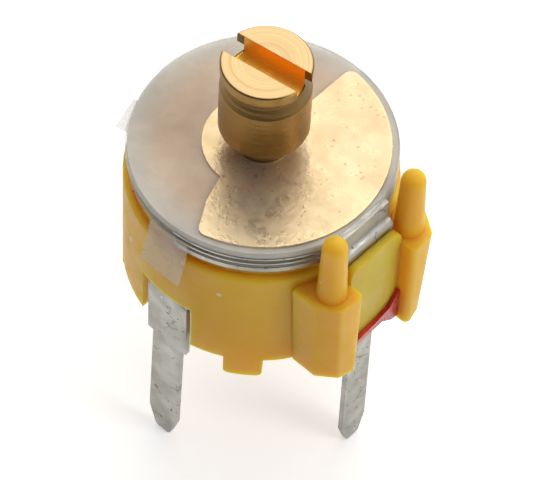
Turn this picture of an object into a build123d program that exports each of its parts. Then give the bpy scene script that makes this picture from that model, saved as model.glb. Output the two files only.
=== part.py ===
from build123d import *
import os

# A ten-millimetre film trimmer capacitor for a printed board.
# Millimetres. +Z is the spindle's axis, z = 0 is the board, and +X points to the stator's terminal.

# Driving sizes: housing
housing_r = 4.56
housing_bottom_z = 0.9
ledge_z = 5.5
ledge_width = 0.26
platform_height = 0.4
edge_round = 0.12

# Driving sizes: stand-off feet
foot_angle = 53.0
rear_foot_angle = 143.0
foot_width = 1.3
foot_depth = 0.85
foot_round = 0.18

# Driving sizes: the two pillars with their posts, and the wall that bridges them
pillar_drop = 0.4
pillar_nose_reach = 0.6
pillar_corner_reach = 0.4
pillar_corner_width = 0.75
pillar_flank_inset = 0.25
pillar_flank_width = 1.25
pillar_draft = 0.22
pillar_round = 0.2
post_inset = 0.25
post_offset = 0.65
post_height = 2.9
post_base_r = 0.52
post_top_r = 0.42
bridge_thickness = 0.3
bridge_rise = 0.22
bridge_bottom_z = 1.5
bridge_round = 0.35
lacquer_t = 0.16

# Driving sizes: sheet metal
terminal_t = 0.2
plate_t = 0.08
film_t = 0.018
cover_t = 0.04
stack_gap = 0.010
plate_count = 4

# Driving sizes: round parts, the stacked ones as insets from the housing's outer radius
spindle_r = 1.5
neck_r = 0.87
cone_height = 1.0
head_height = 3.1
lip_height = 0.42
undercut_height = 0.25
undercut_depth = 0.26
shoulder_height = 0.5
slot_width = 0.86
slot_depth = 0.75
slot_angle = 9.0
turned_edge = 0.05
stub_r = 0.6
rivet_r = 0.95
rivet_height = 0.25
cover_inset = 0.06
film_inset = 0.14
stator_inset = 0.11
vane_inset = 0.36
hub_r = 2.0
vane_corner_round = 0.3
spacer_r = 1.4
spring_r = 1.35
spring_rise = 0.13
spring_t = 0.07
washer_t = 0.13
washer_r = 1.15

# Driving sizes: terminals
leg_tip_z = -5.67
leg_width = 1.25
stator_leg_width = 1.12
front_leg_lean = 0.14
wide_leg_width = 1.74
rotor_leg_inset = 0.16
bend_r = 0.18
tab_half_width = 1.15
tongue_reach = 0.05
groove_top_z = 2.9

# Driving sizes: the two film tabs that stick out of the stack
flat_tab_angle = -163.0
flat_tab_reach = 0.13
flat_tab_width = 1.3
flat_tab_offset = 0.85
folded_tab_angle = -88.5
folded_tab_width = 1.65
folded_tab_lean = 0.3
folded_tab_drop = 0.85

# Clearances
running_gap = 0.05
axial_gap = 0.02
slip_gap = 0.05
press_gap = 0.01
touch_gap = 0.005
spring_room = 0.3
groove_room = 0.22
stator_to_spacer = 0.2

# Worked out from the above: heights
platform_z = ledge_z + platform_height
pillar_top_z = ledge_z - pillar_drop
post_top_z = pillar_top_z + post_height
bridge_top_z = ledge_z + bridge_rise
layer_step = plate_t + film_t + 2 * stack_gap
stator_base_top = platform_z + terminal_t
web_top_z = groove_top_z - axial_gap
web_bottom_z = web_top_z - terminal_t
spring_top = web_bottom_z - axial_gap
spring_bottom = spring_top - spring_rise - spring_t
washer_top = spring_bottom - touch_gap
rivet_top = washer_top - washer_t - touch_gap
cover_bottom = stator_base_top + (2 * plate_count - 1) * layer_step + stack_gap
neck_top_z = cover_bottom + cover_t + axial_gap
cone_top_z = neck_top_z + cone_height
spindle_top_z = cone_top_z + head_height

# Worked out from the above: radii and places
platform_r = housing_r - ledge_width
cover_r = housing_r - cover_inset
film_r = housing_r - film_inset
stator_r = housing_r - stator_inset
vane_r = housing_r - vane_inset
rotor_leg_y = housing_r - rotor_leg_inset
slot_y = tab_half_width + slip_gap
terminal_inner_x = stator_r + slip_gap
terminal_outer_x = terminal_inner_x + slip_gap + terminal_t
bridge_inner_x = terminal_outer_x + slip_gap
bridge_outer_x = bridge_inner_x + bridge_thickness
post_x = bridge_outer_x - post_inset
post_y = slot_y + post_offset
groove_half = wide_leg_width / 2 + groove_room
spacer_x = vane_r + slip_gap + axial_gap
big = 4 * housing_r


def disc(radius, low, high):
    """A round slab on the spindle's axis."""
    return Pos(0, 0, low) * extrude(Circle(radius), high - low)


def ring(outer, inner, low, high):
    """A flat washer on the spindle's axis."""
    return Pos(0, 0, low) * extrude(Circle(outer) - Circle(inner), high - low)


def block(x0, x1, y0, y1, z0, z1):
    """A box between three pairs of planes."""
    return Pos((x0 + x1) / 2, (y0 + y1) / 2, (z0 + z1) / 2) * Box(x1 - x0, y1 - y0, z1 - z0)


def layer_bottom(index):
    """Underside of the plate that lies index steps above the stator's base plate."""
    return stator_base_top + index * layer_step - plate_t


def pillar_outline(draft):
    """A pillar in plan: slot side, nose, outer corner and flank, the last two moved out by the draft."""
    corner_x = bridge_outer_x + pillar_corner_reach
    flank_y = slot_y + pillar_flank_width
    outline = Polyline(
        (platform_r - pillar_drop, slot_y),
        (platform_r - pillar_drop, flank_y + draft),
        (bridge_outer_x - pillar_flank_inset, flank_y + draft),
        (corner_x + draft / 2, slot_y + pillar_corner_width + draft),
        (bridge_outer_x + pillar_nose_reach, slot_y),
        close=True,
    )
    return make_face(outline)


def pillar(side):
    """One corner pillar, wider at its top, with its inner face flush with the terminal's slot."""
    low = Pos(0, 0, housing_bottom_z) * pillar_outline(0)
    high = Pos(0, 0, pillar_top_z) * pillar_outline(pillar_draft)
    column = loft([low, high])
    upright = [edge for edge in column.edges() if edge.length > (pillar_top_z - housing_bottom_z) * 0.9]
    outer_edges = sorted(upright, key=lambda edge: edge.center().X)[-3:]
    column = fillet(outer_edges, pillar_round)
    return column if side > 0 else mirror(column, about=Plane.XZ)


def post(side):
    """A tapered locating post with a round top, moulded on its pillar."""
    dome_z = post_top_z - post_top_r
    base_z = pillar_top_z - post_top_r
    shaft = Cone(post_base_r, post_top_r, dome_z - base_z, align=(Align.CENTER, Align.CENTER, Align.MIN))
    dome = Pos(0, 0, dome_z - base_z) * Sphere(post_top_r)
    return Pos(post_x, side * post_y, base_z) * (shaft + dome)


def foot(angle):
    """A stand-off foot under the rim, its outer face on the housing's own round."""
    inner = housing_r - foot_depth
    root = housing_bottom_z + edge_round
    bar = block(inner, 2 * housing_r, -foot_width / 2, foot_width / 2, 0, root)
    bar = fillet(bar.edges().filter_by(Axis.X).group_by(Axis.Z)[0], foot_round)
    return (Rot(0, 0, angle) * bar) & disc(housing_r, 0, root)


def housing():
    """The moulded body: round block, pillars, posts, bridge wall, feet, bore and terminal ways."""
    body = disc(housing_r, housing_bottom_z, ledge_z)
    body = fillet(body.edges().sort_by(Axis.Z)[-1], edge_round)
    body += disc(platform_r, ledge_z - platform_height, platform_z)
    for side in (-1, 1):
        body += pillar(side)
    # The stator's terminal drops through a way between the pillars.
    body -= block(terminal_inner_x, big, -slot_y, slot_y, -big, big)
    wall = block(bridge_inner_x, bridge_outer_x, -slot_y, slot_y, bridge_bottom_z, bridge_top_z)
    wall = fillet(wall.edges().filter_by(Axis.X).group_by(Axis.Z)[-1], bridge_round)
    body += wall
    for side in (-1, 1):
        body += post(side)
    for angle in (foot_angle, -foot_angle, rear_foot_angle, -rear_foot_angle):
        body += foot(angle)
    # The spindle's bore, the groove that takes the rotor's terminal, and room for its spring.
    body -= disc(neck_r + running_gap, 0, big)
    body -= block(-groove_half, groove_half, -big, big, -big, groove_top_z)
    body -= disc(spring_r + spring_room, -big, groove_top_z)
    return body


def leg_blank(width, low, high, lean=0):
    """A flat terminal leg with a tapered, rounded tip, standing in the XZ plane; it may lean sideways."""
    taper = width * 0.8
    tip_half = width * 0.25
    outline = Polyline(
        (-width / 2, high),
        (-width / 2 - lean, low + taper),
        (-tip_half - lean, low),
        (tip_half - lean, low),
        (width / 2 - lean, low + taper),
        (width / 2, high),
        close=True,
    )
    face = make_face(outline)
    corners = face.vertices().sort_by(Axis.Y)
    face = fillet(corners[:2], width * 0.16)
    face = fillet(face.vertices().sort_by(Axis.Y)[4:6], width * 0.3)
    return Rot(90, 0, 0) * extrude(face, terminal_t / 2, both=True)


def rotor_terminal():
    """One strip bent into a bridge: a web under the housing and a leg at each end."""
    inner_y = rotor_leg_y - terminal_t
    outer = block(-wide_leg_width / 2, wide_leg_width / 2, -rotor_leg_y, rotor_leg_y, 0, web_top_z)
    outer = fillet(outer.edges().filter_by(Axis.X).group_by(Axis.Z)[-1], bend_r + terminal_t)
    hollow = block(-big, big, -inner_y, inner_y, -big, web_bottom_z)
    hollow = fillet(hollow.edges().filter_by(Axis.X).group_by(Axis.Z)[-1], bend_r)
    strip = outer - hollow
    mid_y = rotor_leg_y - terminal_t / 2
    for side in (-1, 1):
        lean = front_leg_lean if side < 0 else 0
        strip += Pos(0, side * mid_y, 0) * leg_blank(leg_width, leg_tip_z, terminal_t, lean)
    return strip - disc(stub_r + running_gap, 0, groove_top_z)


def stator_outline(reach):
    """Half disc open round the rotor's hub, with a tongue that reaches out between the posts."""
    edge_x = stator_to_spacer + running_gap
    half = Circle(stator_r) & Pos(edge_x + stator_r, 0) * Rectangle(2 * stator_r, 3 * stator_r)
    root = stator_r - bend_r - terminal_t
    tongue = Pos((root + stator_r + reach) / 2, 0) * Rectangle(stator_r + reach - root, 2 * tab_half_width)
    return (half + tongue) - Circle(spacer_r + stator_to_spacer)


def stator_terminal():
    """The stator's base plate, folded down at its tongue into the third leg."""
    bend_x = terminal_outer_x - bend_r - terminal_t
    plate = Pos(0, 0, platform_z) * extrude(stator_outline(bend_x - stator_r), terminal_t)
    drop_z = bridge_bottom_z + (stator_leg_width + bend_r) / 2
    fold = block(bend_x - bend_r, terminal_outer_x, -tab_half_width, tab_half_width, drop_z, stator_base_top)
    outer_edge = fold.edges().filter_by(Axis.Y).group_by(Axis.Z)[-1].sort_by(Axis.X)[-1]
    fold = fillet(outer_edge, bend_r + terminal_t)
    inside = block(0, terminal_outer_x - terminal_t, -big, big, 0, platform_z)
    inner_edge = inside.edges().filter_by(Axis.Y).group_by(Axis.Z)[-1].sort_by(Axis.X)[-1]
    inside = fillet(inner_edge, bend_r)
    fold -= inside
    leg = leg_blank(stator_leg_width, leg_tip_z, drop_z + terminal_t)
    leg = Pos(terminal_outer_x - terminal_t / 2, 0, 0) * (Rot(0, 0, 90) * leg)
    return plate + fold + leg


def stator_plate(index):
    """A thin stator plate whose short tongue lies on the spacers."""
    return Pos(0, 0, layer_bottom(index)) * extrude(stator_outline(tongue_reach), plate_t)


def stator_spacer(index):
    """A soldered strip between the tongues of two stator plates."""
    low = layer_bottom(index - 2) + plate_t
    outer_x = stator_r + tongue_reach
    return block(spacer_x, outer_x, -tab_half_width, tab_half_width, low, layer_bottom(index))


def vane(index):
    """A rotor vane: hub disc and a half-disc wing with rounded corners."""
    wing_edge = Polyline(
        (0, 0),
        (0, 2 * vane_r),
        (2 * vane_r, 2 * vane_r),
        (2 * vane_r, -2 * vane_r),
        (vane_r / 4, -2 * vane_r),
        (vane_r / 4, -vane_r),
        (hub_r / 6, -hub_r * 1.5),
        (0, -hub_r),
        close=True,
    )
    wing = make_face(wing_edge) & Circle(vane_r)
    tips = wing.vertices().sort_by(Axis.Y)
    wing = fillet([tips[0], tips[-1]], vane_corner_round)
    outline = wing + Circle(hub_r) - Circle(neck_r + press_gap)
    return Pos(0, 0, layer_bottom(index)) * extrude(outline, plate_t)


def film(index):
    """A plain dielectric film on top of the plate that lies index steps up."""
    low = layer_bottom(index) + plate_t + stack_gap
    outline = Circle(film_r) - Circle(spacer_r + slip_gap)
    notch = Pos(spacer_x - axial_gap + film_r / 2, 0) * Rectangle(film_r, 2 * slot_y)
    return Pos(0, 0, low) * extrude(outline - notch, film_t)


def flat_tab_film(index):
    """A film with a square tab that sticks out flat beyond the cover film."""
    low = layer_bottom(index) + plate_t + stack_gap
    tab = block(hub_r, cover_r + flat_tab_reach, 0, flat_tab_width, low, low + film_t)
    tab = Pos(0, flat_tab_offset - flat_tab_width / 2, 0) * tab
    return film(index) + Rot(0, 0, flat_tab_angle) * tab


def folded_tab_film(index):
    """A film whose tab is led over the housing's edge and hangs outside it, leaning out."""
    low = layer_bottom(index) + plate_t + stack_gap
    high = low + film_t
    start = stator_r + slip_gap
    crease = housing_r + 2 * slip_gap
    crease_z = ledge_z + slip_gap
    end = crease + folded_tab_lean
    end_z = crease_z - folded_tab_drop
    profile = Polyline(
        (hub_r, low),
        (start - film_t, low),
        (crease - film_t, crease_z),
        (end - film_t, end_z),
        (end, end_z),
        (crease, crease_z),
        (start, high),
        (hub_r, high),
        close=True,
    )
    tab = extrude(Plane.XZ * make_face(profile), folded_tab_width / 2, both=True)
    return film(index) + Rot(0, 0, folded_tab_angle) * tab


def spindle():
    """The slotted brass spindle: lipped head, undercut, shoulder, cone, journal, stub and riveted end."""
    lip_z = spindle_top_z - lip_height
    undercut_z = lip_z - undercut_height
    undercut_r = spindle_r - undercut_depth
    profile = Polyline(
        (0, rivet_top - rivet_height),
        (rivet_r - turned_edge, rivet_top - rivet_height),
        (rivet_r, rivet_top),
        (stub_r, rivet_top),
        (stub_r, web_top_z + axial_gap),
        (neck_r, web_top_z + axial_gap),
        (neck_r, neck_top_z),
        (spindle_r, cone_top_z),
        (spindle_r, undercut_z - shoulder_height),
        (undercut_r, undercut_z),
        (undercut_r, lip_z),
        (spindle_r, lip_z),
        (spindle_r, spindle_top_z - turned_edge),
        (spindle_r - turned_edge, spindle_top_z),
        (0, spindle_top_z),
        close=True,
    )
    turned = revolve(Plane.XZ * make_face(profile), Axis.Z)
    slot = block(-big, big, -slot_width / 2, slot_width / 2, spindle_top_z - slot_depth, 2 * spindle_top_z)
    return turned - Rot(0, 0, slot_angle) * slot


def spring_washer():
    """A dished ring that presses the rotor's terminal on to the spindle's rivet."""
    inner = stub_r + slip_gap
    profile = Polyline(
        (spring_r, spring_top - spring_t),
        (spring_r, spring_top),
        (spring_r - spring_t / 2, spring_top),
        (inner, spring_bottom + spring_t),
        (inner, spring_bottom),
        (inner + spring_t / 2, spring_bottom),
        close=True,
    )
    return revolve(Plane.XZ * make_face(profile), Axis.Z)


def lacquer():
    """A lump of sealing lacquer that closes the foot of the bridge wall and its corner."""
    edge = slot_y - touch_gap
    outline = Polyline(
        (-edge, bridge_bottom_z - 0.1),
        (-edge, bridge_bottom_z + 0.1),
        (0.1, bridge_bottom_z + 0.25),
        (0.6 * edge, bridge_bottom_z + 0.42),
        (edge, bridge_bottom_z + 1.05),
        (edge, bridge_bottom_z - 0.45),
        (0.75 * edge, bridge_bottom_z - 0.4),
        (0.35 * edge, bridge_bottom_z - 0.02),
        close=True,
    )
    skin = Plane.YZ * make_face(outline)
    inner_x = terminal_outer_x + touch_gap
    lump = Pos(inner_x, 0, 0) * extrude(skin, bridge_outer_x + lacquer_t - inner_x)
    wall_bottom = bridge_bottom_z - touch_gap
    wall = block(terminal_inner_x, bridge_outer_x + touch_gap, -big, big, wall_bottom, bridge_top_z)
    return lump - wall


parts = {
    "housing": housing(),
    "rotor_terminal": rotor_terminal(),
    "stator_terminal": stator_terminal(),
    "spindle": spindle(),
    "spring_washer": spring_washer(),
    "sealing_lacquer": lacquer(),
    "retaining_washer": ring(washer_r, stub_r + press_gap, washer_top - washer_t, washer_top),
    "thrust_washer": ring(spacer_r, neck_r + press_gap, platform_z + axial_gap, layer_bottom(1)),
    "cover_film": ring(cover_r, neck_r + slip_gap, cover_bottom, cover_bottom + cover_t),
}

for number in range(1, plate_count + 1):
    parts[f"rotor_vane_{number}"] = vane(2 * number - 1)
for number in range(1, plate_count):
    low = layer_bottom(2 * number - 1) + plate_t
    parts[f"rotor_spacer_{number}"] = ring(spacer_r, neck_r + press_gap, low, layer_bottom(2 * number + 1))
    parts[f"stator_plate_{number}"] = stator_plate(2 * number)
    parts[f"stator_spacer_{number}"] = stator_spacer(2 * number)
for number in range(1, 2 * plate_count):
    if number == 3:
        sheet = folded_tab_film(number - 1)
    elif number == 5:
        sheet = flat_tab_film(number - 1)
    else:
        sheet = film(number - 1)
    parts[f"dielectric_film_{number}"] = sheet

os.makedirs("parts", exist_ok=True)
for name, shape in parts.items():
    solids = shape.solids()
    export_step(solids[0] if len(solids) == 1 else Compound(children=list(solids)), f"parts/{name}.step")
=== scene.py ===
import bpy
from math import cos, pi, radians, sin
from mathutils import Matrix, Vector


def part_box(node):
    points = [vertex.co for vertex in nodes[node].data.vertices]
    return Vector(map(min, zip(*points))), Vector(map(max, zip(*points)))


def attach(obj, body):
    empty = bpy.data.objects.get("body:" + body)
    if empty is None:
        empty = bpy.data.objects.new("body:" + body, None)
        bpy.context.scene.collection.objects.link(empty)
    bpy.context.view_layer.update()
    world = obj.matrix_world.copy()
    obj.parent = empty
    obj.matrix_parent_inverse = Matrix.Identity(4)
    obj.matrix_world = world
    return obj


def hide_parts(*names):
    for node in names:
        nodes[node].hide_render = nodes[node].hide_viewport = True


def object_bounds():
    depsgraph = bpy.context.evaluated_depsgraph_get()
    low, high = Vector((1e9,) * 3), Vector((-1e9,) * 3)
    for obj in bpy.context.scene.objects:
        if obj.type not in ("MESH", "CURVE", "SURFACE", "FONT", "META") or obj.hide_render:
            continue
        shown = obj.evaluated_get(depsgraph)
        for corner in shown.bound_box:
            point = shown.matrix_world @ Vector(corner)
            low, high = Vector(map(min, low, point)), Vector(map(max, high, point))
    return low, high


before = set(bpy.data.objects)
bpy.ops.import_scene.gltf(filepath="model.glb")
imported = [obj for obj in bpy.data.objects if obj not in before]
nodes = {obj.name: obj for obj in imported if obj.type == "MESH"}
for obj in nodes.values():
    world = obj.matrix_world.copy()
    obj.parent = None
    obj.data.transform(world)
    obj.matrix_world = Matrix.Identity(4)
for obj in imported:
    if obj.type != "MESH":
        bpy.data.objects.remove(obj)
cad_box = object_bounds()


# The table the part stands on: a plain white sheet, wide enough to fill the view.
# It shows as white, and it keeps the soft shadows of the three legs.
def add(material, kind, values=None, **settings):
    """Adds one node to a material or a node group, with its settings and its sockets' values."""
    tree = material.node_tree if hasattr(material, "node_tree") else material
    node = tree.nodes.new(kind)
    for name, value in settings.items():
        setattr(node, name, value)
    for socket, value in (values or {}).items():
        if isinstance(value, bpy.types.NodeSocket):
            tree.links.new(value, node.inputs[socket])
        else:
            node.inputs[socket].default_value = value
    return node


def finish(name, colour, roughness, metallic=0.0, specular=0.5):
    """A new material with its plain values set, and its shader."""
    material = bpy.data.materials.new(name)
    material.use_nodes = True
    shader = material.node_tree.nodes["Principled BSDF"]
    shader.inputs["Base Color"].default_value = (*colour, 1)
    shader.inputs["Roughness"].default_value = roughness
    shader.inputs["Metallic"].default_value = metallic
    shader.inputs["Specular IOR Level"].default_value = specular
    return material, shader


def feed(material, output, shader, socket):
    """Links an output to one socket of the shader."""
    material.node_tree.links.new(output, shader.inputs[socket])


floor_z = cad_box[0][2]
floor_size = 3.0
floor_glow = 0.40
bpy.ops.object.select_all(action="DESELECT")
bpy.ops.mesh.primitive_plane_add(size=floor_size, location=(0, 0, floor_z))
floor = bpy.context.object
floor.name = "floor"
paper, shader = finish("white_paper", (0.92, 0.92, 0.92), 0.9, specular=0.1)
shader.inputs["Emission Color"].default_value = (1, 1, 1, 1)
rays = add(paper, "ShaderNodeLightPath")
seen = add(paper, "ShaderNodeMath",
           {0: rays.outputs["Is Camera Ray"], 1: rays.outputs["Is Glossy Ray"]}, operation="ADD")
seen = add(paper, "ShaderNodeMath",
           {0: seen.outputs[0], 1: rays.outputs["Is Transmission Ray"]}, operation="ADD")
lift = add(paper, "ShaderNodeMath", {0: seen.outputs[0], 1: floor_glow}, operation="MULTIPLY")
feed(paper, lift.outputs[0], shader, "Emission Strength")
floor.data.materials.append(paper)


# The housing: one moulding in translucent yellow plastic with a satin skin.
# Light sinks into it, so the posts glow, thick parts go brown, and a few dust flecks lie on it.
MM = 0.001


def new_group(name, inputs, outputs):
    """A node group with its input values and its outputs named."""
    group = bpy.data.node_groups.new(name, "ShaderNodeTree")
    for socket, kind, value in inputs:
        made = group.interface.new_socket(socket, in_out="INPUT", socket_type=kind)
        if value is not None:
            made.default_value = value
    for socket in outputs:
        group.interface.new_socket(socket, in_out="OUTPUT", socket_type="NodeSocketFloat")
    return group, group.nodes.new("NodeGroupInput"), group.nodes.new("NodeGroupOutput")


# Flecks: a thin scatter of small round specks; Share says how many of the cells hold one.
flecks, given, result = new_group(
    "flecks",
    [("Vector", "NodeSocketVector", None), ("Scale", "NodeSocketFloat", 2000.0),
     ("Size", "NodeSocketFloat", 0.2), ("Share", "NodeSocketFloat", 0.3)],
    ["Mask"])
cells = add(flecks, "ShaderNodeTexVoronoi",
            {"Vector": given.outputs["Vector"], "Scale": given.outputs["Scale"]})
ragged = add(flecks, "ShaderNodeTexNoise", {"Vector": given.outputs["Vector"], "Detail": 2.0})
fine = add(flecks, "ShaderNodeMath", {0: given.outputs["Scale"], 1: 2.2}, operation="MULTIPLY")
flecks.links.new(fine.outputs[0], ragged.inputs["Scale"])
edge = add(flecks, "ShaderNodeMath",
           {0: ragged.outputs["Fac"], 1: given.outputs["Size"]}, operation="MULTIPLY")
inside = add(flecks, "ShaderNodeMath",
             {0: cells.outputs["Distance"], 1: edge.outputs[0]}, operation="LESS_THAN")
draw = add(flecks, "ShaderNodeSeparateColor", {"Color": cells.outputs["Color"]})
chosen = add(flecks, "ShaderNodeMath",
             {0: draw.outputs["Red"], 1: given.outputs["Share"]}, operation="LESS_THAN")
mask = add(flecks, "ShaderNodeMath", {0: inside.outputs[0], 1: chosen.outputs[0]}, operation="MULTIPLY")
flecks.links.new(mask.outputs[0], result.inputs["Mask"])

# Cloud: slow uneven patches from 0 to 1, for stains, dye and dulling.
cloud, given, result = new_group(
    "cloud",
    [("Vector", "NodeSocketVector", None), ("Scale", "NodeSocketFloat", 400.0),
     ("Low", "NodeSocketFloat", 0.35), ("High", "NodeSocketFloat", 0.65)],
    ["Value"])
noise = add(cloud, "ShaderNodeTexNoise",
            {"Vector": given.outputs["Vector"], "Scale": given.outputs["Scale"], "Detail": 4.0})
spread = add(cloud, "ShaderNodeMapRange",
             {"Value": noise.outputs["Fac"],
              "From Min": given.outputs["Low"], "From Max": given.outputs["High"]})
cloud.links.new(spread.outputs["Result"], result.inputs["Value"])


def patches(material, kind, **values):
    """Places one of the groups in a material, on Object coordinates, and gives back its output."""
    place = add(material, "ShaderNodeTexCoord")
    node = add(material, "ShaderNodeGroup", node_tree=kind)
    material.node_tree.links.new(place.outputs["Object"], node.inputs["Vector"])
    for name, value in values.items():
        node.inputs[name].default_value = value
    return node.outputs[0]


def blend(material, amount, first, second):
    """Mixes two colours, or two values, by an amount."""
    colours = [(*value, 1) if isinstance(value, tuple) else value for value in (first, second)]
    node = add(material, "ShaderNodeMix", data_type="RGBA")
    for socket, value in ((0, amount), (6, colours[0]), (7, colours[1])):
        if isinstance(value, bpy.types.NodeSocket):
            material.node_tree.links.new(value, node.inputs[socket])
        else:
            node.inputs[socket].default_value = value
    return node.outputs[2]


def steps(material, value, low, high):
    """Spreads a value that runs from 0 to 1 over another range."""
    return add(material, "ShaderNodeMapRange",
               {"Value": value, "To Min": low, "To Max": high}).outputs["Result"]


def relief(material, shader, height, depth, normal=None):
    """Turns a height from 0 to 1 into a bump of the given depth in metres."""
    bump = add(material, "ShaderNodeBump", {"Height": height, "Distance": depth, "Strength": 1.0})
    if normal is not None:
        material.node_tree.links.new(normal, bump.inputs["Normal"])
    feed(material, bump.outputs["Normal"], shader, "Normal")


def dress(material, *names):
    """Gives CAD nodes one material in place of the frame's plain one."""
    for name in names:
        nodes[name].data.materials.clear()
        nodes[name].data.materials.append(material)


plastic, shader = finish("moulded_plastic", (0.82, 0.48, 0.03), 0.44, specular=0.3)
shader.inputs["Subsurface Weight"].default_value = 1.0
shader.inputs["Subsurface Radius"].default_value = (1.0, 0.55, 0.04)
shader.inputs["Subsurface Scale"].default_value = 1.5 * MM
dye = patches(plastic, cloud, Scale=330.0, Low=0.3, High=0.7)
colour = blend(plastic, dye, (0.85, 0.51, 0.035), (0.78, 0.41, 0.02))
dust = patches(plastic, flecks, Scale=1500.0, Size=0.30, Share=0.05)
colour = blend(plastic, dust, colour, (0.86, 0.70, 0.42))
grime = patches(plastic, flecks, Scale=2600.0, Size=0.26, Share=0.035)
colour = blend(plastic, grime, colour, (0.30, 0.14, 0.03))
feed(plastic, colour, shader, "Base Color")
feed(plastic, steps(plastic, patches(plastic, cloud, Scale=1500.0), 0.36, 0.54), shader, "Roughness")
soft_edge = add(plastic, "ShaderNodeBevel", {"Radius": 0.09 * MM}, samples=4)
skin = patches(plastic, cloud, Scale=5200.0, Low=0.2, High=0.8)
relief(plastic, shader, skin, 0.006 * MM, soft_edge.outputs["Normal"])
dress(plastic, "housing")


# The terminals: tinned strip, bent and punched, dull grey with specks and dark scratches.
# The rotor's front leg carries a half-round coined mark.
scratches, given, result = new_group(
    "scratches",
    [("Vector", "NodeSocketVector", None), ("Scale", "NodeSocketFloat", 900.0),
     ("Width", "NodeSocketFloat", 0.012)],
    ["Mask"])
warp = add(scratches, "ShaderNodeTexNoise",
           {"Vector": given.outputs["Vector"], "Scale": 700.0, "Detail": 1.0})
wander = 1.2 * MM
bent = add(scratches, "ShaderNodeVectorMath",
           {0: warp.outputs["Color"], 1: (wander, wander, wander)}, operation="MULTIPLY")
path = add(scratches, "ShaderNodeVectorMath",
           {0: given.outputs["Vector"], 1: bent.outputs[0]}, operation="ADD")
cells = add(scratches, "ShaderNodeTexVoronoi",
            {"Vector": path.outputs[0], "Scale": given.outputs["Scale"]}, feature="DISTANCE_TO_EDGE")
line = add(scratches, "ShaderNodeMath",
           {0: cells.outputs["Distance"], 1: given.outputs["Width"]}, operation="LESS_THAN")
gaps = add(scratches, "ShaderNodeTexNoise", {"Vector": given.outputs["Vector"], "Scale": 1100.0})
broken = add(scratches, "ShaderNodeMath", {0: gaps.outputs["Fac"], 1: 0.54}, operation="GREATER_THAN")
mask = add(scratches, "ShaderNodeMath", {0: line.outputs[0], 1: broken.outputs[0]}, operation="MULTIPLY")
scratches.links.new(mask.outputs[0], result.inputs["Mask"])


coin_centre = (-0.29 * MM, 0, -0.30 * MM)
coin_r = 0.36 * MM
coin_line = 0.035 * MM
coin_cut = -0.1 * MM
coin_depth = 4.0


def coined(material):
    """The half-round coined mark on the front leg, as a depth."""
    place = add(material, "ShaderNodeTexCoord")
    local = add(material, "ShaderNodeVectorMath",
                {0: place.outputs["Object"], 1: coin_centre}, operation="SUBTRACT")
    flat = add(material, "ShaderNodeVectorMath", {0: local.outputs[0], 1: (1, 0, 1)}, operation="MULTIPLY")
    radius = add(material, "ShaderNodeVectorMath",
                 {0: flat.outputs[0]}, operation="LENGTH").outputs["Value"]
    away = add(material, "ShaderNodeMath", {0: radius, 1: coin_r}, operation="SUBTRACT").outputs[0]
    away = add(material, "ShaderNodeMath", {0: away}, operation="ABSOLUTE").outputs[0]
    cut = add(material, "ShaderNodeMath", {0: away, 1: coin_line}, operation="LESS_THAN").outputs[0]
    side = add(material, "ShaderNodeSeparateXYZ", {0: local.outputs[0]}).outputs["X"]
    half = add(material, "ShaderNodeMath", {0: side, 1: coin_cut}, operation="GREATER_THAN").outputs[0]
    depth = add(material, "ShaderNodeSeparateXYZ", {0: place.outputs["Object"]}).outputs["Y"]
    front = add(material, "ShaderNodeMath", {0: depth, 1: 0.0}, operation="LESS_THAN").outputs[0]
    cut = add(material, "ShaderNodeMath", {0: cut, 1: half}, operation="MULTIPLY").outputs[0]
    cut = add(material, "ShaderNodeMath", {0: cut, 1: front}, operation="MULTIPLY").outputs[0]
    return add(material, "ShaderNodeMath", {0: cut, 1: coin_depth}, operation="MULTIPLY").outputs[0]


def tinned(name, marked=False):
    """Dull tin plate: cloudy grey, fine grain, dark scratches, bright specks and softened edges."""
    material, shader = finish(name, (0.42, 0.41, 0.37), 0.42, metallic=0.85)
    colour = blend(material, patches(material, cloud, Scale=700.0), (0.50, 0.49, 0.445), (0.36, 0.35, 0.31))
    worn = patches(material, scratches, Scale=950.0, Width=0.014)
    colour = blend(material, worn, colour, (0.20, 0.19, 0.165))
    pits = patches(material, flecks, Scale=4200.0, Size=0.42, Share=0.16)
    colour = blend(material, pits, colour, (0.17, 0.16, 0.13))
    bright = patches(material, flecks, Scale=3600.0, Size=0.36, Share=0.06)
    colour = blend(material, bright, colour, (0.70, 0.69, 0.64))
    feed(material, colour, shader, "Base Color")
    feed(material, steps(material, patches(material, cloud, Scale=1900.0), 0.32, 0.58), shader, "Roughness")
    grain = patches(material, cloud, Scale=6500.0, Low=0.2, High=0.8)
    height = add(material, "ShaderNodeMath", {0: grain, 1: worn}, operation="SUBTRACT").outputs[0]
    if marked:
        height = add(material, "ShaderNodeMath",
                     {0: height, 1: coined(material)}, operation="SUBTRACT").outputs[0]
    soft_edge = add(material, "ShaderNodeBevel", {"Radius": 0.03 * MM}, samples=4)
    relief(material, shader, height, 0.008 * MM, soft_edge.outputs["Normal"])
    return material


dress(tinned("tinned_rotor_strip", marked=True), "rotor_terminal")
stator_names = [name for name in nodes if name.startswith("stator_")]
dress(tinned("tinned_stator_strip"), *stator_names)


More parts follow.
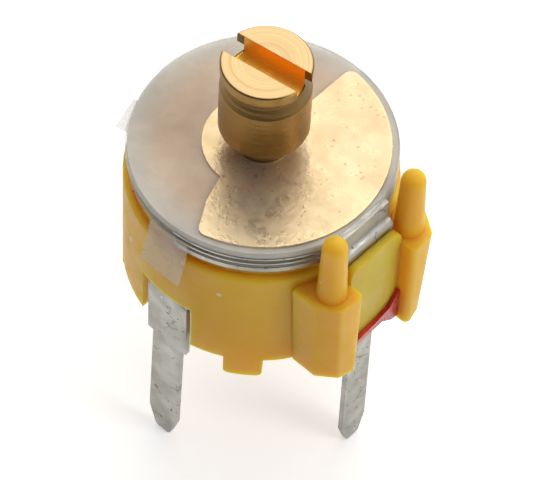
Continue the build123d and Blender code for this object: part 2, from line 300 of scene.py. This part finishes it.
# The spindle: turned from brass bar, so rings run round its faces and lines round its sides.
# Its sides are painted darker browns than its level faces as painted shade, the undercut below the lip is
# painted dark as painted shade, and the milled slot is painted bright amber as a painted glow.
turning, given, result = new_group(
    "turning",
    [("Vector", "NodeSocketVector", None), ("Scale", "NodeSocketFloat", 9000.0)],
    ["Height"])
across = add(turning, "ShaderNodeVectorMath",
             {0: given.outputs["Vector"], 1: (1, 1, 0)}, operation="MULTIPLY")
radius = add(turning, "ShaderNodeVectorMath", {0: across.outputs[0]}, operation="LENGTH")
up = add(turning, "ShaderNodeSeparateXYZ", {0: given.outputs["Vector"]})
drift = add(turning, "ShaderNodeVectorMath",
            {0: across.outputs[0], 1: (0.03, 0.03, 0)}, operation="MULTIPLY")
rings = add(turning, "ShaderNodeCombineXYZ", {"X": radius.outputs["Value"], "Z": up.outputs["Z"]})
rings = add(turning, "ShaderNodeVectorMath", {0: rings.outputs[0], 1: drift.outputs[0]}, operation="ADD")
marks = add(turning, "ShaderNodeTexNoise",
            {"Vector": rings.outputs[0], "Scale": given.outputs["Scale"], "Detail": 3.0, "Roughness": 0.6})
turning.links.new(marks.outputs["Fac"], result.inputs["Height"])

brass, shader = finish("turned_brass", (0.66, 0.43, 0.16), 0.32, metallic=1.0)
facing = add(brass, "ShaderNodeNewGeometry")
facing = add(brass, "ShaderNodeSeparateXYZ", {0: facing.outputs["Normal"]})
level_face = add(brass, "ShaderNodeMapRange",
                 {"Value": facing.outputs["Z"], "From Min": 0.6, "From Max": 0.95}).outputs["Result"]
lines = patches(brass, turning, Scale=9000.0)
# Painted shade: surfaces that face sideways get darker, patchy browns than the level faces, chosen by the
# normal's tilt.
side_shade_patches = patches(brass, cloud, Scale=650.0)
sides = blend(brass, side_shade_patches, (0.42, 0.25, 0.08), (0.30, 0.17, 0.045))
faces = blend(brass, lines, (0.36, 0.24, 0.11), (0.70, 0.50, 0.25))
colour = blend(brass, level_face, sides, faces)
spindle_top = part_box("spindle")[1][2]
lip_r = 1.49 * MM
undercut_r = 1.235 * MM
undercut_z = 9.9 * MM
rim_edge = 0.016 * MM
place = add(brass, "ShaderNodeTexCoord")
across = add(brass, "ShaderNodeVectorMath",
             {0: place.outputs["Object"], 1: (1, 1, 0)}, operation="MULTIPLY")
radius = add(brass, "ShaderNodeVectorMath", {0: across.outputs[0]}, operation="LENGTH").outputs["Value"]
height = add(brass, "ShaderNodeSeparateXYZ", {0: place.outputs["Object"]}).outputs["Z"]
# Painted shade and glow: the undercut below the lip is painted dark brown as shade, and the milled slot
# inside it is painted bright amber as a glow.
recessed = add(brass, "ShaderNodeMath", {0: radius, 1: lip_r}, operation="LESS_THAN").outputs[0]
above = add(brass, "ShaderNodeMath", {0: height, 1: undercut_z}, operation="GREATER_THAN").outputs[0]
below = add(brass, "ShaderNodeMath",
            {0: height, 1: spindle_top - rim_edge}, operation="LESS_THAN").outputs[0]
recessed = add(brass, "ShaderNodeMath", {0: recessed, 1: above}, operation="MULTIPLY").outputs[0]
recessed = add(brass, "ShaderNodeMath", {0: recessed, 1: below}, operation="MULTIPLY").outputs[0]
milled = add(brass, "ShaderNodeMath", {0: radius, 1: undercut_r}, operation="LESS_THAN").outputs[0]
recess_shade_and_slot_glow = blend(brass, milled, (0.20, 0.12, 0.04), (0.95, 0.50, 0.08))
colour = blend(brass, recessed, colour, recess_shade_and_slot_glow)
spots = patches(brass, flecks, Scale=3000.0, Size=0.36, Share=0.09)
colour = blend(brass, spots, colour, (0.24, 0.14, 0.05))
feed(brass, colour, shader, "Base Color")
feed(brass, steps(brass, patches(brass, turning, Scale=5200.0), 0.20, 0.50), shader, "Roughness")
soft_edge = add(brass, "ShaderNodeBevel", {"Radius": 0.03 * MM}, samples=4)
relief(brass, shader, lines, 0.016 * MM, soft_edge.outputs["Normal"])
dress(brass, "spindle")


# The vanes, the rings between them and the two washers: rolled brass sheet, etched matt.
# Fine dark specks cover it, with a few larger stains.
sheet, shader = finish("rolled_brass", (0.66, 0.50, 0.28), 0.36, metallic=0.95)
colour = blend(sheet, patches(sheet, cloud, Scale=520.0), (0.76, 0.58, 0.33), (0.62, 0.45, 0.23))
pits = patches(sheet, flecks, Scale=5200.0, Size=0.50, Share=0.25)
colour = blend(sheet, pits, colour, (0.52, 0.37, 0.18))
stains = patches(sheet, flecks, Scale=1300.0, Size=0.26, Share=0.06)
colour = blend(sheet, stains, colour, (0.33, 0.22, 0.10))
feed(sheet, colour, shader, "Base Color")
feed(sheet, steps(sheet, patches(sheet, cloud, Scale=2400.0), 0.24, 0.38), shader, "Roughness")
relief(sheet, shader, patches(sheet, cloud, Scale=7000.0, Low=0.2, High=0.8), 0.006 * MM)
brass_names = [name for name in nodes if name.startswith("rotor_vane") or name.startswith("rotor_spacer")]
dress(sheet, "thrust_washer", "retaining_washer", *brass_names)


# The spring washer: bronze, dished and darker than the brass, hidden under the terminal's web.
# It holds the terminal against the spindle's riveted end.
bronze, shader = finish("spring_bronze", (0.46, 0.26, 0.12), 0.36, metallic=1.0)
colour = blend(bronze, patches(bronze, cloud, Scale=900.0), (0.52, 0.30, 0.14), (0.38, 0.20, 0.09))
feed(bronze, colour, shader, "Base Color")
feed(bronze, steps(bronze, patches(bronze, cloud, Scale=2600.0), 0.28, 0.46), shader, "Roughness")
relief(bronze, shader, patches(bronze, turning, Scale=7000.0), 0.006 * MM)
dress(bronze, "spring_washer")


# The dielectric films: thin clear discs between the plates, each one faintly milky.
# One has a tab folded over the housing's edge, and another has a tab that sticks out flat.
def milky(name, clear, dull, cover):
    """Translucent film: cloudy, with a little dust and a painted highlight that whitens it towards its rim;
    cover is how much of what lies under it it hides.
    """
    material, shader = finish(name, clear, 0.35, specular=0.35)
    colour = blend(material, patches(material, cloud, Scale=420.0), clear, dull)
    dust = patches(material, flecks, Scale=2400.0, Size=0.30, Share=0.06)
    colour = blend(material, dust, colour, (0.92, 0.91, 0.88))
    place = add(material, "ShaderNodeTexCoord")
    across = add(material, "ShaderNodeVectorMath",
                 {0: place.outputs["Object"], 1: (1, 1, 0)}, operation="MULTIPLY")
    radius = add(material, "ShaderNodeVectorMath",
                 {0: across.outputs[0]}, operation="LENGTH").outputs["Value"]
    # Painted light: the film is whitened towards its rim, standing in for the lighter look of its
    # see-through edge.
    rim = add(material, "ShaderNodeMapRange",
              {"Value": radius,
               "From Min": 3.3 * MM, "From Max": 4.3 * MM, "To Max": 0.8}).outputs["Result"]
    colour = blend(material, rim, colour, (0.84, 0.82, 0.75))
    feed(material, colour, shader, "Base Color")
    haze = steps(material, patches(material, cloud, Scale=900.0), cover * 0.85, cover * 1.15)
    feed(material, haze, shader, "Alpha")
    feed(material, steps(material, patches(material, cloud, Scale=1600.0), 0.28, 0.45), shader, "Roughness")
    relief(material, shader, patches(material, cloud, Scale=1100.0), 0.01 * MM)
    return material


film_names = sorted(name for name in nodes if name.startswith("dielectric_film"))
dress(milky("inner_film", (0.95, 0.72, 0.49), (0.88, 0.64, 0.42), 0.58), *film_names)
dress(milky("tab_film", (0.72, 0.66, 0.52), (0.58, 0.50, 0.36), 0.30),
      "dielectric_film_3", "dielectric_film_5")


# The cover film: a thicker milky disc on top of the stack, pressed flat in the middle.
# Its rim is free, so it droops a little, and its edge shows as a thin brown line.
cover_low, cover_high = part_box("cover_film")
cover_r = cover_high[0]
cover_t = cover_high[2] - cover_low[2]
hole_r = 0.92 * MM
droop = 0.28 * MM
flat_r = 4.0 * MM
bend_r = 4.44 * MM
bend_drop = 0.09 * MM
rim_rings = 4
flat_rings = 8
cover_sides = 160
bpy.ops.object.select_all(action="DESELECT")
rim_z = cover_high[2] - droop
bpy.ops.mesh.primitive_circle_add(vertices=cover_sides, radius=cover_r, location=(0, 0, rim_z))
cover = bpy.context.object
cover.name = "cover_film_disc"
bpy.ops.object.transform_apply(location=True, rotation=True, scale=True)
bpy.ops.object.mode_set(mode="EDIT")
bpy.ops.mesh.select_all(action="SELECT")
profile = [(bend_r, bend_drop)]
for number in range(1, rim_rings + 1):
    share = 1 - number / rim_rings
    profile.append((flat_r + (bend_r - flat_r) * share, bend_drop * share ** 2))
for number in range(1, flat_rings + 1):
    profile.append((flat_r - (flat_r - hole_r) * number / flat_rings, 0.0))
ring_r = cover_r
ring_drop = droop
for next_r, next_drop in profile:
    bpy.ops.mesh.extrude_edges_move(TRANSFORM_OT_translate={"value": (0, 0, ring_drop - next_drop)})
    scale = next_r / ring_r
    bpy.ops.transform.resize(value=(scale, scale, 1), center_override=(0, 0, cover_high[2]))
    ring_r = next_r
    ring_drop = next_drop
bpy.ops.mesh.select_all(action="SELECT")
bpy.ops.mesh.normals_make_consistent(inside=False)
bpy.ops.object.mode_set(mode="OBJECT")
if cover.data.polygons[0].normal.z < 0:
    cover.data.flip_normals()
thick = cover.modifiers.new("thickness", "SOLIDIFY")
thick.thickness = cover_t
thick.offset = -1.0
bpy.ops.object.modifier_apply(modifier="thickness")
bpy.ops.object.shade_smooth_by_angle(angle=radians(40))
cover_material = milky("cover_film_skin", (0.90, 0.86, 0.79), (0.84, 0.79, 0.71), 0.08)
cover.data.materials.append(cover_material)
edge_material = milky("cover_film_edge", (0.66, 0.55, 0.42), (0.56, 0.46, 0.34), 0.45)
cover.data.materials.append(edge_material)
for face in cover.data.polygons:
    outward = Vector((face.center.x, face.center.y, 0)).normalized()
    if abs(face.normal.dot(outward)) > 0.8:
        face.material_index = 1
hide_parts("cover_film")
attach(cover, "housing")


# The sealing lacquer: a brushed red lump at the foot of the bridge wall, glossy and uneven.
# It thins out to orange where it runs on to the plastic.
lacquer, shader = finish("red_lacquer", (0.45, 0.01, 0.03), 0.22)
shader.inputs["Coat Weight"].default_value = 0.25
shader.inputs["Coat Roughness"].default_value = 0.12
place = add(lacquer, "ShaderNodeTexCoord")
along = add(lacquer, "ShaderNodeSeparateXYZ", {0: place.outputs["Object"]})
fade = add(lacquer, "ShaderNodeMapRange",
           {"Value": along.outputs["Y"], "From Min": -1.2 * MM, "From Max": 0.5 * MM}).outputs["Result"]
colour = blend(lacquer, fade, (0.80, 0.12, 0.05), (0.62, 0.008, 0.022))
colour = blend(lacquer, patches(lacquer, cloud, Scale=1300.0), colour, (0.36, 0.004, 0.016))
feed(lacquer, colour, shader, "Base Color")
feed(lacquer, steps(lacquer, patches(lacquer, cloud, Scale=2000.0), 0.18, 0.36), shader, "Roughness")
relief(lacquer, shader, patches(lacquer, cloud, Scale=1500.0), 0.03 * MM)
dress(lacquer, "sealing_lacquer")


# The studio: a broad panel overhead and behind, a key panel from the stator terminal's side.
# The room is pale at the back and darker in front, so the front of the part lies in soft shade.
def panel(name, direction, distance, size, radiance):
    """A square area lamp that faces the part from a direction."""
    light = bpy.data.lights.new(name, "AREA")
    light.shape = "SQUARE"
    light.size = size
    light.energy = radiance * pi * size * size
    lamp = bpy.data.objects.new(name, light)
    bpy.context.scene.collection.objects.link(lamp)
    toward = Vector(direction).normalized()
    lamp.location = toward * distance
    lamp.rotation_euler = toward.to_track_quat("Z", "Y").to_euler()


panel("overhead_panel", (-0.30, 0.45, 0.84), 0.40, 0.34, 1.45)
panel("side_panel", (0.86, 0.30, 0.60), 0.40, 0.15, 6.0)
world = bpy.data.worlds.new("pale_room")
world.use_nodes = True
room = world.node_tree.nodes["Background"]
room.inputs["Color"].default_value = (1.0, 1.0, 1.0, 1)
bright_way = (-0.45, 0.75, 0.48)
way = add(world, "ShaderNodeTexCoord")
way = add(world, "ShaderNodeVectorMath",
          {0: way.outputs["Generated"], 1: bright_way}, operation="DOT_PRODUCT")
glow = add(world, "ShaderNodeMapRange",
           {"Value": way.outputs["Value"],
            "From Min": -0.7, "From Max": 0.9, "To Min": 0.04, "To Max": 0.80})
world.node_tree.links.new(glow.outputs["Result"], room.inputs["Strength"])
bpy.context.scene.world = world


# The camera looks down at the front corner between two terminals.
# Its place is worked out from two angles, a small roll and the point it is aimed at.
camera_azimuth = radians(40.6)
camera_elevation = radians(54.8)
camera_roll = radians(3.23)
camera_distance = 120 * MM
aim_height = 7.0 * MM
aim_right = 0.43 * MM
aim_down = 3.25 * MM
back = Vector((
    sin(camera_azimuth) * cos(camera_elevation),
    -cos(camera_azimuth) * cos(camera_elevation),
    sin(camera_elevation),
))
level = Vector((cos(camera_azimuth), sin(camera_azimuth), 0))
upright = back.cross(level)
right = level * cos(camera_roll) + upright * sin(camera_roll)
over = upright * cos(camera_roll) - level * sin(camera_roll)
scene = bpy.context.scene
camera_data = bpy.data.cameras.new("camera")
camera_data.lens = 241.1
camera_data.sensor_width = 36.0
camera_data.clip_start = 0.005
camera = bpy.data.objects.new("camera", camera_data)
scene.collection.objects.link(camera)
spot = Vector((0, 0, aim_height)) + right * aim_right - over * aim_down + back * camera_distance
turn = Matrix((right, over, back)).transposed()
camera.matrix_world = Matrix.Translation(spot) @ turn.to_4x4()
scene.camera = camera
scene.view_settings.view_transform = "Standard"
